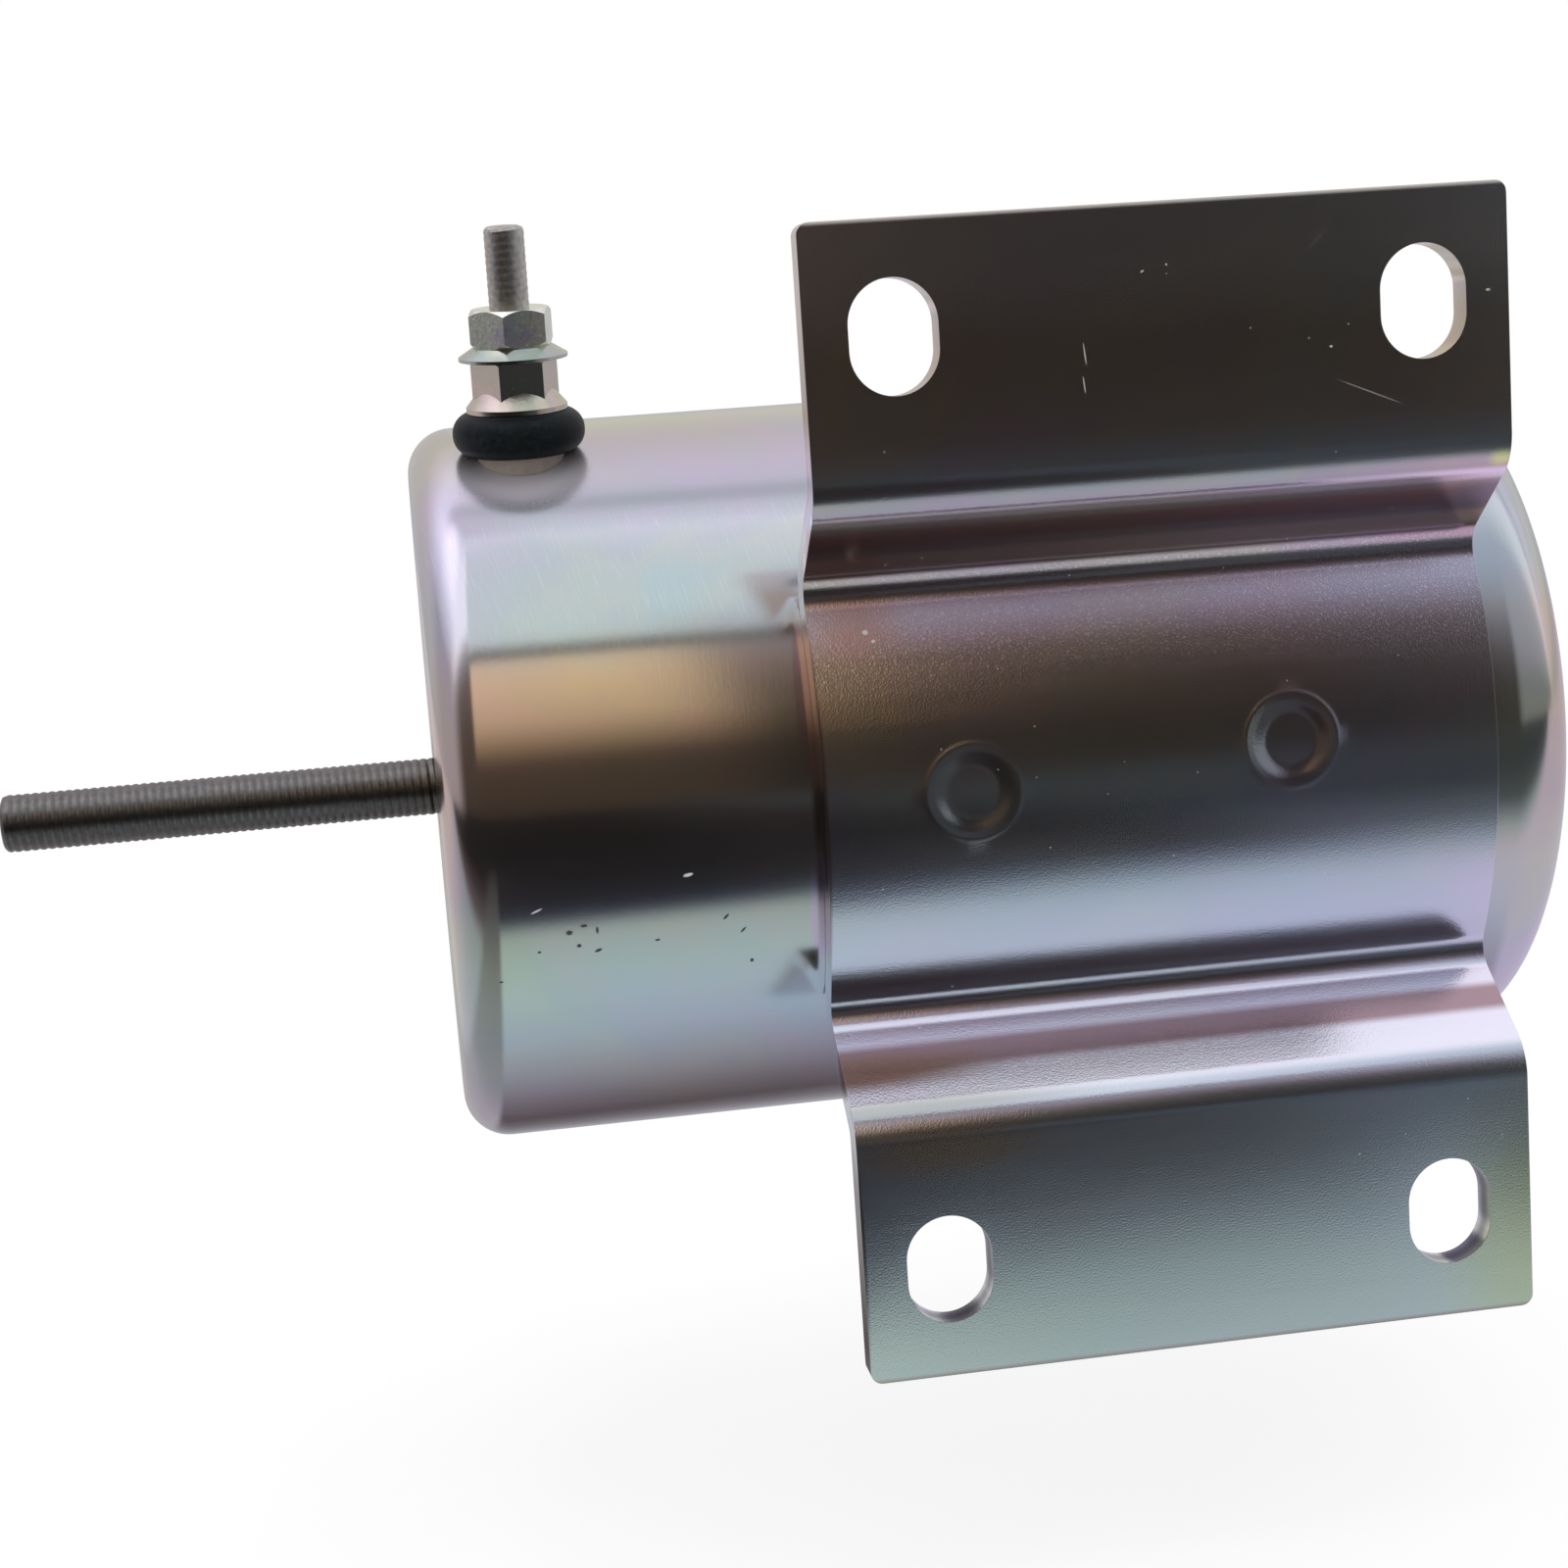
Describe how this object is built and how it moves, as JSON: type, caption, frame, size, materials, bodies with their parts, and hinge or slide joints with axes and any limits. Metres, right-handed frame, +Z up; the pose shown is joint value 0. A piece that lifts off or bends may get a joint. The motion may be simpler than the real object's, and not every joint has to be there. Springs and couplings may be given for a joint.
{
  "type": "fuel shutoff solenoid",
  "caption": "Pull solenoid in a drawn steel case on a folded slotted bracket, with a threaded plunger rod at the front, a domed rear cover and a stud terminal on the wall.",
  "frame": {"origin": "midway between the two slots nearest the rod, in the bracket's mounting face", "axes": "+X along the plunger's pull, from the rod's tip to the domed rear cover; -Y out of the mounting face, towards what the bracket is bolted to; +Z up, towards the terminal"},
  "size_m": [0.1712, 0.088, 0.1175],
  "materials": {
    "case_plating": "satin iridescent zinc plating",
    "bracket_plating": "bright iridescent zinc plating",
    "rod_steel": "dark steel, threaded",
    "fastener_plating": "dull zinc plating",
    "bright_steel": "machined",
    "core_iron": "machined soft iron",
    "spring_steel": "drawn wire",
    "guide_brass": "drawn tube",
    "contact_copper": "stamped copper",
    "winding_copper": "enamelled wire",
    "seal_rubber": "smooth black rubber",
    "bush_moulding": "moulded insulator",
    "bobbin_nylon": "moulded nylon",
    "wrap_film": "insulating film"
  },
  "bodies": {
    "root": {"case": "case_plating", "rear_cover": "case_plating", "mounting_bracket": "bracket_plating", "front_bushing": "guide_brass", "wiper_seal": "seal_rubber", "stop_bumper": "seal_rubber", "return_spring": "spring_steel", "spacer_ring": "bright_steel", "front_plate": "core_iron", "guide_tube": "guide_brass", "rear_plate": "core_iron", "fixed_core": "core_iron", "bobbin": "bobbin_nylon", "hold_in_winding": "winding_copper", "pull_in_winding": "winding_copper", "winding_wrap": "wrap_film", "switch_base": "bush_moulding", "upper_contact": "contact_copper", "lower_contact": "contact_copper", "switch_spring": "spring_steel", "switch_yoke": "bright_steel", "switch_screws": "fastener_plating", "terminal_stud": "fastener_plating", "terminal_bush": "bush_moulding", "terminal_seal": "seal_rubber", "terminal_flange_nut": "fastener_plating", "terminal_washer": "fastener_plating", "terminal_nut": "fastener_plating", "inner_insulator": "bush_moulding", "lead_strap": "contact_copper", "inner_nut": "fastener_plating"},
    "seat": {"spring_seat": "bright_steel"},
    "plunger": {"plunger_core": "core_iron", "plunger_rod": "rod_steel"},
    "switch_slide": {"contact_bridge": "contact_copper", "switch_pin": "bobbin_nylon"}
  },
  "joints": [
    {"name": "plunger_stroke", "type": "slide", "parent": "root", "child": "seat", "axis": [1, 0, 0], "range_m": [0, 0.0254], "stiffness_N_per_m": 1200, "springref_m": -0.02, "deforming": ["return_spring"]},
    {"name": "plunger_spin", "type": "hinge", "parent": "seat", "child": "plunger", "pos_m": [-0.07, 0.0483, 0], "axis": [1, 0, 0], "continuous": true},
    {"name": "switch_travel", "type": "slide", "parent": "root", "child": "switch_slide", "axis": [1, 0, 0], "range_m": [0, 0.00165], "stiffness_N_per_m": 800, "springref_m": -0.003, "deforming": ["switch_spring"]}
  ],
  "couplings": [
    {"joint": "switch_travel", "follows": "plunger_stroke", "ratio": 0.063}
  ]
}
